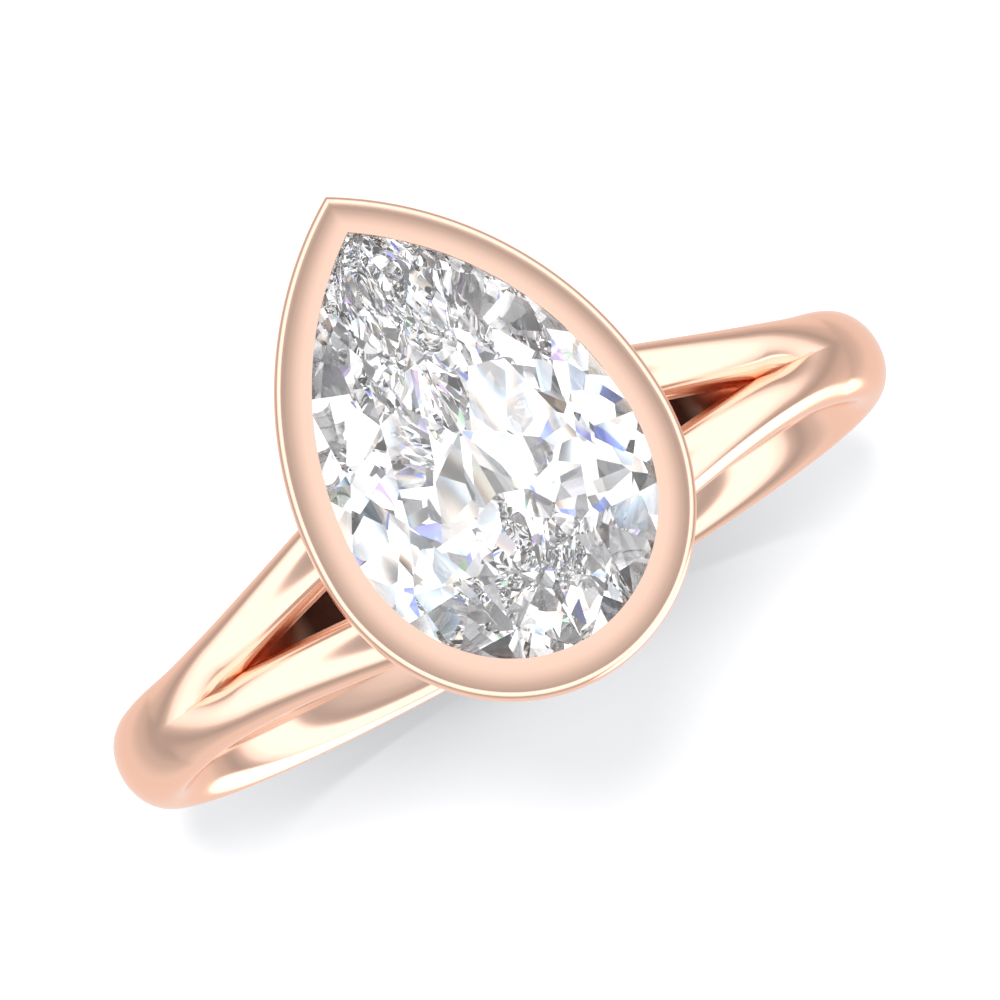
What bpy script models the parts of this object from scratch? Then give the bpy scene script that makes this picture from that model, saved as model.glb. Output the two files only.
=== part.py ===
"""Pear solitaire ring with a full bezel and a split shank.

The finger's axis is Y, with the stone's tip towards +Y. The stone faces +Z and the shank's ends reach
along X. The origin is the centre of the finger hole.
"""

import math

import bmesh
import bpy
from mathutils import Matrix, Vector

MM = 0.001

# Fit between neighbouring pieces: the width of a solder seam, or of the play round the stone
SEAM = 0.03 * MM

# Shank: an oval wire bent round the finger
FINGER_DIAMETER = 17.0 * MM
BAND_THICKNESS = 1.65 * MM
BAND_WIDTH = 2.25 * MM
SPLIT_ANGLE = math.radians(64.0)  # from the top of the ring to where the band divides
BAND_SIDES = 32
BAND_STEPS = 64

# Shoulders: four arms that carry the band's section up to the head
SHOULDER_REACH = math.radians(37.0)  # from the split to the head's edge
SHOULDER_RISE = 1.2 * MM  # lift off the finger circle at the head's edge
SHOULDER_FLARE = 0.62 * MM  # how much further out each arm's outer edge lies there
SHOULDER_PARTING = 0.64 * MM  # clear width between two arms there
PARTING_START = 0.54  # share of the reach over which two arms still lie together
PARTING_POWER = 1.3  # how gently the arms start to part
ROUNDING_SHARE = 0.55  # share of the reach over which an arm's inner side grows round
ROUNDING_POWER = 2.2  # over 1, the crease between the arms starts at once and deepens slowly
SHOULDER_SIDES = 24
SHOULDER_STEPS = 18
SHOULDER_BURIAL = 0.6 * MM  # how far an arm is drawn into the head before the head's outline trims it

# Bridge: a thin strip that closes the finger circle under the head
BRIDGE_THICKNESS = 0.7 * MM
BRIDGE_WIDTH = 1.9 * MM
BRIDGE_END_THICKNESS = 0.22 * MM
BRIDGE_CORNER_POWER = 4.0  # squareness of its section
BRIDGE_SIDES = 20
BRIDGE_STEPS = 30

# Stone: pear brilliant
STONE_WIDTH = 7.5 * MM
STONE_LENGTH = 11.15 * MM
ROUND_END_LENGTH = 4.16 * MM  # from the widest line to the round end
TOP_HEIGHT = 1.0 * MM  # girdle to table
GIRDLE_THICKNESS = 0.28 * MM
PAVILION_DEPTH = 3.2 * MM  # girdle to culet
TABLE_SHARE = 0.58
TABLE_CENTRE = 0.4 * MM  # the table's centre lies this far towards the tip
STAR_LEVEL = 0.58  # height of the star facets' lower points, as a share of TOP_HEIGHT
LOWER_HALF_SHARE = 0.77  # how far the lower halves run from the girdle towards the culet
GIRDLE_PARTS = 4  # girdle flats between two facet junctions

# Head: bezel wall, bearing ledge and gallery rail
HEAD_SHIFT = 0.13 * MM  # the stone's widest line lies this far towards the tip from the band's middle
HEAD_CLEARANCE = 0.05 * MM  # bridge to gallery rail
CULET_CLEARANCE = 0.15 * MM  # bridge to culet
LIP_OVERLAP = 0.18 * MM  # how far the rim reaches over the stone
LIP_THICKNESS = 0.18 * MM
LIP_STEEPNESS = 1.3  # the lip's underside against the stone's upper side facets
LEDGE_STEEPNESS = 1.12  # the ledge's bevel against the stone's lower side facets
RIM_WIDTH = 0.73 * MM  # inner edge to outer crease
RIM_ROLL = 0.32 * MM  # fall of the rim's rounded face from its inner edge to the crease
WALL_BELLY = 0.3 * MM
WALL_TAPER = 0.65 * MM  # how far the wall's foot draws in from the crease
WALL_THICKNESS = 0.55 * MM
WALL_BELLY_POWER = 0.6  # under 1, the wall is fullest above its half height
WALL_STEPS = 9
RIM_STEPS = 5
LEDGE_WIDTH = 0.4 * MM
LEDGE_DEPTH = 0.9 * MM
RAIL_HEIGHT = 0.45 * MM
RAIL_WIDTH = 0.75 * MM
RAIL_SIDES = 10
OUTLINE_POINTS = 72
CUTTER_REACH = 0.8  # the head outline's underside, as a share of the finger radius

ROSE_GOLD = (0.89, 0.60, 0.48, 1.0)
DIAMOND = (0.95, 0.96, 0.98, 1.0)

# Heights and radii that follow from the sizes above
FINGER_RADIUS = FINGER_DIAMETER / 2
BAND_RADIUS = FINGER_RADIUS + BAND_THICKNESS / 2
HEAD_FLOOR = FINGER_RADIUS + BRIDGE_THICKNESS + HEAD_CLEARANCE
CULET_HEIGHT = FINGER_RADIUS + BRIDGE_THICKNESS + CULET_CLEARANCE
GIRDLE_LOW = CULET_HEIGHT + PAVILION_DEPTH
GIRDLE_HIGH = GIRDLE_LOW + GIRDLE_THICKNESS
TABLE_HEIGHT = GIRDLE_HIGH + TOP_HEIGHT
WALL_FOOT = HEAD_FLOOR + RAIL_HEIGHT + SEAM
LIP_SLOPE = LIP_STEEPNESS * TOP_HEIGHT / ((1 - TABLE_SHARE) * STONE_WIDTH / 2)
LEDGE_SLOPE = LEDGE_STEEPNESS * PAVILION_DEPTH / (STONE_WIDTH / 2)
LIP_TOP = GIRDLE_HIGH + LIP_OVERLAP * LIP_SLOPE + SEAM + LIP_THICKNESS
CREASE_OFFSET = RIM_WIDTH - LIP_OVERLAP
CREASE_HEIGHT = LIP_TOP - RIM_ROLL
FOOT_OFFSET = CREASE_OFFSET - WALL_TAPER


def clear_scene():
    for old in list(bpy.data.objects):
        bpy.data.objects.remove(old, do_unlink=True)


def collection(name):
    group = bpy.data.collections.new(name)
    bpy.context.scene.collection.children.link(group)
    return group


def material(name, colour, roughness, metallic, transmission=0.0, ior=1.5):
    mat = bpy.data.materials.new(name)
    mat.use_nodes = True
    shader = mat.node_tree.nodes["Principled BSDF"]
    shader.inputs["Base Color"].default_value = colour
    shader.inputs["Roughness"].default_value = roughness
    shader.inputs["Metallic"].default_value = metallic
    shader.inputs["Transmission Weight"].default_value = transmission
    shader.inputs["IOR"].default_value = ior
    mat.diffuse_color = colour
    return mat


def gold(name):
    return material(name, ROSE_GOLD, 0.12, 1.0)


def add_object(group, name, bm, mat, sharp_angle=40.0):
    """Turns a bmesh into an object, with its faces pointing out and its round faces smooth."""
    bmesh.ops.recalc_face_normals(bm, faces=bm.faces[:])
    mesh = bpy.data.meshes.new(name)
    bm.to_mesh(mesh)
    bm.free()
    if mat is not None:
        mesh.materials.append(mat)
    mesh.shade_smooth()
    mesh.set_sharp_from_angle(angle=math.radians(sharp_angle))
    obj = bpy.data.objects.new(name, mesh)
    group.objects.link(obj)
    return obj


def loft(rings, closed):
    """Skins a row of equal rings: closed joins the last ring to the first, open gets two end caps."""
    bm = bmesh.new()
    loops = [[bm.verts.new(point) for point in ring] for ring in rings]
    pairs = list(zip(loops, loops[1:]))
    if closed:
        pairs.append((loops[-1], loops[0]))
    else:
        bm.faces.new(loops[0])
        bm.faces.new(loops[-1])
    for lower, upper in pairs:
        for i in range(len(lower)):
            j = (i + 1) % len(lower)
            bm.faces.new((lower[i], lower[j], upper[j], upper[i]))
    return bm


# Pear outline: two arcs meet at the tip, and half an ellipse closes the round end


def outline_point(offset, share):
    """A point of the outline that lies offset outside the stone's edge.

    share runs from -1 at the tip, through -0.5 at the side, 0 at the round end and 0.5, back to 1.
    """
    side = math.copysign(1.0, share)
    half_width = STONE_WIDTH / 2
    tip_length = STONE_LENGTH - ROUND_END_LENGTH
    arc_radius = (tip_length**2 + half_width**2) / (2 * half_width)
    arc_centre = half_width - arc_radius
    if abs(share) <= 0.5:
        angle = math.pi * abs(share)
        x = (half_width + offset) * math.sin(angle)
        y = -(ROUND_END_LENGTH + offset) * math.cos(angle)
    else:
        radius = arc_radius + offset
        angle = (2 * abs(share) - 1) * math.acos(-arc_centre / radius)
        x = arc_centre + radius * math.cos(angle)
        y = radius * math.sin(angle)
    return Vector((side * x, y + HEAD_SHIFT))


def outline_ring(offset, height, count=OUTLINE_POINTS):
    shares = [-1 + 2 * i / count for i in range(count)]
    ring = []
    for share in shares:
        point = outline_point(offset, share)
        ring.append(Vector((0.0 if share == -1 else point.x, point.y, height)))
    return ring


def outline_tangent(share):
    step = 0.001
    if abs(share) == 1:
        return Vector((1.0, 0.0))
    return (outline_point(0, share + step) - outline_point(0, share - step)).normalized()


def wall_line(share):
    """Outside of the bezel wall, from the crease (0) to the foot (1), as offset and height."""
    offset = CREASE_OFFSET - WALL_TAPER * share + WALL_BELLY * math.sin(math.pi * share**WALL_BELLY_POWER)
    height = CREASE_HEIGHT + (WALL_FOOT - CREASE_HEIGHT) * share
    return offset, height


# Shank


def make_band(group):
    """The plain part of the shank: an oval spun round the finger from one split to the other."""
    start = SPLIT_ANGLE + SEAM / BAND_RADIUS
    bm = bmesh.new()
    bmesh.ops.create_circle(bm, cap_ends=True, radius=0.5, segments=BAND_SIDES)
    size = Matrix.Diagonal((BAND_WIDTH, BAND_THICKNESS, 1.0, 1.0))
    # circle X becomes the finger axis and circle Y the radial direction at the top of the ring
    stand = Matrix(((0, 0, 1, 0), (1, 0, 0, 0), (0, 1, 0, BAND_RADIUS), (0, 0, 0, 1)))
    bmesh.ops.transform(bm, matrix=Matrix.Rotation(start, 4, "Y") @ stand @ size, verts=bm.verts[:])
    bmesh.ops.spin(
        bm,
        geom=bm.verts[:] + bm.edges[:] + bm.faces[:],
        cent=(0, 0, 0),
        axis=(0, 1, 0),
        angle=2 * math.pi - 2 * start,
        steps=BAND_STEPS,
        use_duplicate=False,
    )
    add_object(group, "shank_band", bm, gold("shank_gold"))


def shoulder_section(reach):
    """Centre radius, inner face, middle and outer edge of an arm, at a share of its reach."""
    parted = max(0.0, (reach - PARTING_START) / (1 - PARTING_START))
    inner = SEAM / 2 + SHOULDER_PARTING / 2 * parted**PARTING_POWER
    outer = BAND_WIDTH / 2 + SHOULDER_FLARE * reach**2
    grown = min(1.0, reach / ROUNDING_SHARE)
    rounding = 1 - (1 - grown) ** ROUNDING_POWER
    middle = inner + (outer - inner) / 2 * rounding
    return BAND_RADIUS + SHOULDER_RISE * reach**2, inner, middle, outer


def shoulder_ring(reach, side_x, side_y):
    """One oval section of an arm, cut flat along the mid-plane while the two arms overlap."""
    radius, inner, middle, outer = shoulder_section(reach)
    angle = SPLIT_ANGLE - SHOULDER_REACH * reach
    half_width = outer - middle
    cut = math.acos(max(-1.0, (inner - middle) / half_width))
    half_turn = min(cut, math.pi * (1 - 1 / SHOULDER_SIDES))
    ring = []
    for i in range(SHOULDER_SIDES):
        turn = half_turn * (2 * i / (SHOULDER_SIDES - 1) - 1)
        y = middle + half_width * math.cos(turn)
        r = radius + BAND_THICKNESS / 2 * math.sin(turn)
        ring.append(Vector((side_x * r * math.sin(angle), side_y * y, r * math.cos(angle))))
    return ring


def shoulder_end():
    """The share of reach at which an arm's centre lies well inside the wall's foot."""
    inside = STONE_WIDTH / 2 + FOOT_OFFSET - SHOULDER_BURIAL
    reach = 1.0
    for _ in range(20):
        radius = shoulder_section(reach)[0]
        reach = (SPLIT_ANGLE - math.asin(inside / radius)) / SHOULDER_REACH
    return reach


def make_shoulders(group, head_outline):
    end = shoulder_end()
    for x_name, side_x in (("left", -1), ("right", 1)):
        for y_name, side_y in (("tip", 1), ("round", -1)):
            rings = [
                shoulder_ring(end * i / SHOULDER_STEPS, side_x, side_y) for i in range(SHOULDER_STEPS + 1)
            ]
            name = f"shoulder_{x_name}_{y_name}"
            arm = add_object(group, name, loft(rings, closed=False), gold(f"{name}_gold"))
            trim = arm.modifiers.new("trim to the head", "BOOLEAN")
            trim.operation = "DIFFERENCE"
            trim.solver = "EXACT"
            trim.object = head_outline


def make_bridge(group):
    """A strip on the finger circle whose ends thin out under the rising shoulders."""
    end_reach = math.sqrt((BRIDGE_END_THICKNESS + SEAM) / SHOULDER_RISE)
    end = SPLIT_ANGLE - SHOULDER_REACH * end_reach
    rings = []
    for step in range(BRIDGE_STEPS + 1):
        angle = end * (2 * step / BRIDGE_STEPS - 1)
        reach = (SPLIT_ANGLE - abs(angle)) / SHOULDER_REACH
        thickness = min(BRIDGE_THICKNESS, SHOULDER_RISE * reach**2 - SEAM)
        middle = FINGER_RADIUS + thickness / 2
        ring = []
        for i in range(BRIDGE_SIDES):
            turn = 2 * math.pi * i / BRIDGE_SIDES
            across, up = math.cos(turn), math.sin(turn)
            swell = (abs(across) ** BRIDGE_CORNER_POWER + abs(up) ** BRIDGE_CORNER_POWER) ** (
                1 / BRIDGE_CORNER_POWER
            )
            y = BRIDGE_WIDTH / 2 * across / swell
            r = middle + thickness / 2 * up / swell
            ring.append(Vector((r * math.sin(angle), y, r * math.cos(angle))))
        rings.append(ring)
    add_object(group, "finger_bridge", loft(rings, closed=False), gold("bridge_gold"))


# Head


def make_head_outline(group):
    """The head's outer shape with a seam's width added, which trims the shoulders."""
    rings = [outline_ring(FOOT_OFFSET + SEAM, FINGER_RADIUS * CUTTER_REACH)]
    for step in range(WALL_STEPS, -1, -1):
        offset, height = wall_line(step / WALL_STEPS)
        rings.append(outline_ring(offset + SEAM, height))
    rings.append(outline_ring(CREASE_OFFSET, TABLE_HEIGHT))
    cutter = add_object(group, "head_outline", loft(rings, closed=False), None)
    cutter.hide_render = True
    cutter.display_type = "WIRE"
    return cutter


def make_wall(group):
    """The bezel: a rounded rim over the stone's edge, a crease, and a bellied wall down to the rail."""
    profile = []
    for step in range(RIM_STEPS):
        share = step / RIM_STEPS
        profile.append((RIM_WIDTH * share - LIP_OVERLAP, LIP_TOP - RIM_ROLL * share**2))
    for step in range(WALL_STEPS + 1):
        profile.append(wall_line(step / WALL_STEPS))
    pocket_floor = GIRDLE_LOW - SEAM - LEDGE_DEPTH - SEAM
    for step in range(WALL_STEPS, -1, -1):
        offset, height = wall_line(step / WALL_STEPS)
        if height < pocket_floor:
            profile.append((min(offset - WALL_THICKNESS, 0.0), height))
    profile.append((SEAM, pocket_floor))
    profile.append((SEAM, GIRDLE_HIGH + SEAM))
    profile.append((-LIP_OVERLAP, LIP_TOP - LIP_THICKNESS))
    rings = [outline_ring(offset, height) for offset, height in profile]
    add_object(group, "bezel_wall", loft(rings, closed=True), gold("bezel_gold"), sharp_angle=24.0)


def make_ledge(group):
    """The bearer inside the wall, bevelled to take the underside of the stone's edge."""
    top = GIRDLE_LOW - SEAM
    profile = [
        (0.0, top),
        (0.0, top - LEDGE_DEPTH),
        (-LEDGE_WIDTH, top - LEDGE_DEPTH),
        (-LEDGE_WIDTH, top - LEDGE_WIDTH * LEDGE_SLOPE),
    ]
    rings = [outline_ring(offset, height) for offset, height in profile]
    add_object(group, "bearing_ledge", loft(rings, closed=True), gold("ledge_gold"))


def make_rail(group):
    """An oval wire under the foot of the wall."""
    rings = []
    for i in range(RAIL_SIDES):
        turn = 2 * math.pi * (i + 0.5) / RAIL_SIDES
        reach = math.cos(math.pi / RAIL_SIDES)
        offset = FOOT_OFFSET - RAIL_WIDTH / 2 + RAIL_WIDTH / 2 * math.cos(turn) / reach
        height = HEAD_FLOOR + RAIL_HEIGHT / 2 + RAIL_HEIGHT / 2 * math.sin(turn)
        rings.append(outline_ring(min(offset, FOOT_OFFSET), height))
    add_object(group, "gallery_rail", loft(rings, closed=True), gold("rail_gold"))


# Stone: facets are planes that cut a pear-shaped prism, as on a lap


def plane_through(a, b, c):
    """A plane's point and normal, with the normal pointing away from the stone's middle."""
    normal = (b - a).cross(c - a).normalized()
    middle = Vector((0, HEAD_SHIFT, (GIRDLE_LOW + GIRDLE_HIGH) / 2))
    if normal.dot(a - middle) < 0:
        normal.negate()
    return a, normal


def on_ridge(plane_a, plane_b, height):
    """The point at a height on the line where two facets meet."""
    (point_a, normal_a), (point_b, normal_b) = plane_a, plane_b
    system = Matrix((normal_a, normal_b, (0, 0, 1)))
    return system.inverted() @ Vector((normal_a.dot(point_a), normal_b.dot(point_b), height))


def facet_planes():
    count = 8
    part = 2 / count
    mains = [-1 + part * (i + 1) for i in range(count)]

    def edge(share, height):
        wrapped = share - 2 if share > 1 else share  # the outline closes at the tip
        point = outline_point(0, wrapped)
        return Vector((point.x, point.y, height))

    culet = Vector((0, HEAD_SHIFT, CULET_HEIGHT))
    table_middle = Vector((0, HEAD_SHIFT + TABLE_CENTRE, TABLE_HEIGHT))
    upper_mains, lower_mains, corners = [], [], []
    for share in mains:
        along = outline_tangent(share).to_3d() * MM
        high, low = edge(share, GIRDLE_HIGH), edge(share, GIRDLE_LOW)
        corner = table_middle + TABLE_SHARE * (edge(share, TABLE_HEIGHT) - table_middle)
        corners.append(corner)
        upper_mains.append(plane_through(high, high + along, corner))
        lower_mains.append(plane_through(low, low + along, culet))
    planes = upper_mains + lower_mains
    star_height = GIRDLE_HIGH + STAR_LEVEL * TOP_HEIGHT
    lower_height = GIRDLE_LOW - LOWER_HALF_SHARE * PAVILION_DEPTH
    for i, share in enumerate(mains):
        j = (i + 1) % count
        middle, after = share + part / 2, share + part
        star = on_ridge(upper_mains[i], upper_mains[j], star_height)
        foot = on_ridge(lower_mains[i], lower_mains[j], lower_height)
        planes.append(plane_through(corners[i], corners[j], star))
        for first, second in ((share, middle), (middle, after)):
            planes.append(plane_through(edge(first, GIRDLE_HIGH), edge(second, GIRDLE_HIGH), star))
            planes.append(plane_through(edge(first, GIRDLE_LOW), edge(second, GIRDLE_LOW), foot))
    planes.append((table_middle, Vector((0, 0, 1))))
    return planes


def make_stone(group):
    """Cuts the facets at a scale of one unit a millimetre, then draws the faces anew on the corners."""
    ring = outline_ring(0, CULET_HEIGHT - CULET_CLEARANCE, count=16 * GIRDLE_PARTS)
    top = [Vector((point.x, point.y, TABLE_HEIGHT + TOP_HEIGHT)) for point in ring]
    bm = loft([ring, top], closed=False)
    bmesh.ops.scale(bm, vec=(1 / MM,) * 3, verts=bm.verts[:])
    bmesh.ops.recalc_face_normals(bm, faces=bm.faces[:])
    for point, normal in facet_planes():
        cut = bmesh.ops.bisect_plane(
            bm,
            geom=bm.verts[:] + bm.edges[:] + bm.faces[:],
            plane_co=point / MM,
            plane_no=normal,
            clear_outer=True,
        )
        edges = [part for part in cut["geom_cut"] if isinstance(part, bmesh.types.BMEdge)]
        if edges:
            bmesh.ops.contextual_create(bm, geom=edges)
    bmesh.ops.remove_doubles(bm, verts=bm.verts[:], dist=0.004)
    bmesh.ops.delete(bm, geom=bm.edges[:] + bm.faces[:], context="EDGES_FACES")
    hull = bmesh.ops.convex_hull(bm, input=bm.verts[:])
    spare = [part for part in hull["geom_interior"] if isinstance(part, bmesh.types.BMVert)]
    bmesh.ops.delete(bm, geom=spare, context="VERTS")
    bmesh.ops.dissolve_limit(
        bm, angle_limit=math.radians(0.6), verts=bm.verts[:], edges=bm.edges[:], use_dissolve_boundaries=False
    )
    bmesh.ops.scale(bm, vec=(MM,) * 3, verts=bm.verts[:])
    diamond = material("diamond", DIAMOND, 0.0, 0.0, transmission=1.0, ior=2.417)
    add_object(group, "stone", bm, diamond, sharp_angle=0.5)


def main():
    clear_scene()
    ring = collection("engagement_ring")
    cutters = collection("cutters")
    make_band(ring)
    make_shoulders(ring, make_head_outline(cutters))
    make_bridge(ring)
    make_wall(ring)
    make_ledge(ring)
    make_rail(ring)
    make_stone(ring)


main()
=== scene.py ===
"""Pear solitaire ring: the finished rose gold, the cut diamond, the studio and the camera."""

import math

import bmesh
import bpy
from mathutils import Matrix, Vector


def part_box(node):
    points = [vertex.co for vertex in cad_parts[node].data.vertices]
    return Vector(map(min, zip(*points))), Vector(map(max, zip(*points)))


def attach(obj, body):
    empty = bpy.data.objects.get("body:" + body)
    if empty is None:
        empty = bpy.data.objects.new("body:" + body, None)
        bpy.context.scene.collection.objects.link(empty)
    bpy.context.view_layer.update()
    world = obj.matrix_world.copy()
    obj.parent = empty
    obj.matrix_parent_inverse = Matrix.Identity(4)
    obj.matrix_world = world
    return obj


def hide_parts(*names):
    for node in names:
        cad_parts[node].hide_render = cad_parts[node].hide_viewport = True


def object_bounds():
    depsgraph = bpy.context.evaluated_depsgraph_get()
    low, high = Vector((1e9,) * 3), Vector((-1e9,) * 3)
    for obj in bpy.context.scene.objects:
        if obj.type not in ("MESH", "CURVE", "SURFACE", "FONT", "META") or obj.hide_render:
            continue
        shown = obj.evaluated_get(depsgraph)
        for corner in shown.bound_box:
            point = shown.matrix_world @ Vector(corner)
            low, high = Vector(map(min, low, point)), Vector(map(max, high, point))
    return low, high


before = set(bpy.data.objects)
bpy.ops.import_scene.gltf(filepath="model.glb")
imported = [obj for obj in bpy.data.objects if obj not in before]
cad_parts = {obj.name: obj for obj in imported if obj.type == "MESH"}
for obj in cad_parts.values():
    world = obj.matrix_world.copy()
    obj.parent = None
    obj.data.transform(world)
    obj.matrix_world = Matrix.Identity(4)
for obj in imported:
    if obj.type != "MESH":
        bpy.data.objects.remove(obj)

cad_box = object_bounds()

MM = 0.001
ROOT = "root"

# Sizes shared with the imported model, in metres
FINGER_RADIUS = 8.5 * MM
BAND_THICKNESS = 1.65 * MM
BAND_WIDTH = 2.25 * MM
BAND_RADIUS = FINGER_RADIUS + BAND_THICKNESS / 2
SPLIT_ANGLE = math.radians(64.0)
SHOULDER_REACH = math.radians(37.0)
SHOULDER_RISE = 1.2 * MM
SHOULDER_FLARE = 0.62 * MM
SHOULDER_PARTING = 0.64 * MM
PARTING_START = 0.54
PARTING_POWER = 1.3
ROUNDING_SHARE = 0.55
ROUNDING_POWER = 2.2
ROUNDING_EASE = 0.08
BRIDGE_THICKNESS = 0.7 * MM
BRIDGE_WIDTH = 1.9 * MM
STONE_WIDTH = 7.5 * MM
STONE_LENGTH = 11.15 * MM
ROUND_END_LENGTH = 4.16 * MM
HEAD_SHIFT = 0.13 * MM
TOP_HEIGHT = 1.0 * MM
GIRDLE_THICKNESS = 0.28 * MM
PAVILION_DEPTH = 3.2 * MM
LIP_OVERLAP = 0.18 * MM
RIM_WIDTH = 0.73 * MM
RIM_ROLL = 0.32 * MM
WALL_THICKNESS = 0.55 * MM
LEDGE_WIDTH = 0.4 * MM
LEDGE_DEPTH = 0.9 * MM
RAIL_WIDTH = 0.75 * MM

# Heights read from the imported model
CULET_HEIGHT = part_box("stone")[0].z
TABLE_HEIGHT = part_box("stone")[1].z
GIRDLE_LOW = CULET_HEIGHT + PAVILION_DEPTH
GIRDLE_HIGH = GIRDLE_LOW + GIRDLE_THICKNESS
LIP_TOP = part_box("bezel_wall")[1].z
WALL_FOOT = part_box("bezel_wall")[0].z
RAIL_LOW, RAIL_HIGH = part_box("gallery_rail")[0].z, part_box("gallery_rail")[1].z
CREASE_OFFSET = RIM_WIDTH - LIP_OVERLAP
CREASE_HEIGHT = LIP_TOP - RIM_ROLL
WALL_TAPER = 0.65 * MM
WALL_BELLY = 0.3 * MM
BELLY_POWER = 0.6
FOOT_OFFSET = CREASE_OFFSET - WALL_TAPER
LEDGE_STEEPNESS = 1.12


# Node helpers


def link(tree, source, target):
    tree.links.new(source, target)


def feed(tree, value, target):
    """Links an output into a socket, or sets the socket to a constant."""
    if isinstance(value, bpy.types.NodeSocket):
        link(tree, value, target)
    else:
        target.default_value = value


def new_material(name):
    mat = bpy.data.materials.new(name)
    mat.use_nodes = True
    return mat, mat.node_tree, mat.node_tree.nodes["Principled BSDF"]


def object_place(tree):
    return tree.nodes.new("ShaderNodeTexCoord").outputs["Object"]


def noise_at(tree, vector, scale, detail):
    noise = tree.nodes.new("ShaderNodeTexNoise")
    noise.inputs["Scale"].default_value = scale
    noise.inputs["Detail"].default_value = detail
    link(tree, vector, noise.inputs["Vector"])
    return noise.outputs["Fac"]


def calculate(tree, operation, *values):
    node = tree.nodes.new("ShaderNodeMath")
    node.operation = operation
    for value, target in zip(values, node.inputs):
        feed(tree, value, target)
    return node.outputs["Value"]


def moved(tree, vector, shift):
    node = tree.nodes.new("ShaderNodeVectorMath")
    node.inputs[1].default_value = shift
    link(tree, vector, node.inputs[0])
    return node.outputs["Vector"]


def axis_of(tree, vector, axis):
    split = tree.nodes.new("ShaderNodeSeparateXYZ")
    link(tree, vector, split.inputs["Vector"])
    return split.outputs[axis]


def rising(tree, value, low, high, top=1.0):
    """0 at the low value and top at the high one."""
    ramp = tree.nodes.new("ShaderNodeMapRange")
    ramp.inputs["From Min"].default_value = low
    ramp.inputs["From Max"].default_value = high
    ramp.inputs["To Max"].default_value = top
    link(tree, value, ramp.inputs["Value"])
    return ramp.outputs["Result"]


def mixed(tree, blend, factor, a, b):
    mix = tree.nodes.new("ShaderNodeMix")
    mix.data_type = "RGBA"
    mix.blend_type = blend
    for value, label in ((factor, "Factor"), (a, "A"), (b, "B")):
        feed(tree, value, mix.inputs[label])
    return mix.outputs["Result"]


def colour_steps(tree, source, steps, interpolation="LINEAR"):
    """A colour ramp from (position, colour or grey level) pairs."""
    ramp = tree.nodes.new("ShaderNodeValToRGB")
    ramp.color_ramp.interpolation = interpolation
    shades = ramp.color_ramp.elements
    while len(shades) < len(steps):
        shades.new(0.5)
    for shade, (position, colour) in zip(shades, steps):
        shade.position = position
        shade.color = (*colour, 1) if isinstance(colour, tuple) else (colour, colour, colour, 1)
    link(tree, source, ramp.inputs["Fac"])
    return ramp.outputs["Color"]


def bump_normal(tree, height, strength, distance, shader):
    bump = tree.nodes.new("ShaderNodeBump")
    bump.inputs["Strength"].default_value = strength
    bump.inputs["Distance"].default_value = distance
    link(tree, height, bump.inputs["Height"])
    link(tree, bump.outputs["Normal"], shader.inputs["Normal"])


NUMBER, COLOUR = "NodeSocketFloat", "NodeSocketColor"


def shader_group(name, taken, put_out):
    """An empty group with named sockets; gives it with its inner ends."""
    group = bpy.data.node_groups.new(name, "ShaderNodeTree")
    for way, sockets in (("INPUT", taken), ("OUTPUT", put_out)):
        for label, kind in sockets:
            group.interface.new_socket(label, in_out=way, socket_type=kind)
    given = group.nodes.new("NodeGroupInput").outputs
    return group, given, group.nodes.new("NodeGroupOutput").inputs


# Gold finishes

CLOUD_SCALE, GRAIN_SCALE = 420.0, 2600.0
BUFFING_SCALE = (2500.0, 14000.0, 2500.0)
POLISH_STRENGTH, POLISH_DISTANCE = 0.05, 0.002 * MM
METAL_EDGE = (1.0, 0.78, 0.68, 1.0)


def polish_group():
    """Hand polish on gold: slight colour drift, cloudy roughness and fine buffing lines."""
    group, given, out = shader_group(
        "jeweller_polish",
        (
            ("Base Roughness", NUMBER),
            ("Cloudiness", NUMBER),
            ("Line Depth", NUMBER),
            ("Light Tint", COLOUR),
            ("Deep Tint", COLOUR),
        ),
        (("Colour", COLOUR), ("Roughness", NUMBER), ("Height", NUMBER)),
    )
    place = object_place(group)
    clouds = noise_at(group, place, CLOUD_SCALE, 4.0)
    tint = mixed(group, "MIX", clouds, given["Light Tint"], given["Deep Tint"])
    link(group, tint, out["Colour"])
    grain = noise_at(group, place, GRAIN_SCALE, 3.0)
    spread = calculate(group, "MULTIPLY_ADD", grain, given["Cloudiness"], given["Base Roughness"])
    link(group, spread, out["Roughness"])
    stretch = group.nodes.new("ShaderNodeMapping")
    stretch.inputs["Scale"].default_value = BUFFING_SCALE
    link(group, place, stretch.inputs["Vector"])
    lines = noise_at(group, stretch.outputs["Vector"], 1.0, 2.0)
    link(group, calculate(group, "MULTIPLY", lines, given["Line Depth"]), out["Height"])
    return group


POLISH = polish_group()


def rose_gold(name, roughness, cloudiness, line_depth, light, deep):
    mat, tree, shader = new_material(name)
    polish = tree.nodes.new("ShaderNodeGroup")
    polish.node_tree = POLISH
    polish.inputs["Base Roughness"].default_value = roughness
    polish.inputs["Cloudiness"].default_value = cloudiness
    polish.inputs["Line Depth"].default_value = line_depth
    polish.inputs["Light Tint"].default_value = (*light, 1.0)
    polish.inputs["Deep Tint"].default_value = (*deep, 1.0)
    bump_normal(tree, polish.outputs["Height"], POLISH_STRENGTH, POLISH_DISTANCE, shader)
    link(tree, polish.outputs["Colour"], shader.inputs["Base Color"])
    link(tree, polish.outputs["Roughness"], shader.inputs["Roughness"])
    shader.inputs["Metallic"].default_value = 1.0
    shader.inputs["Specular Tint"].default_value = METAL_EDGE
    return mat


# Building helpers


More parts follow.
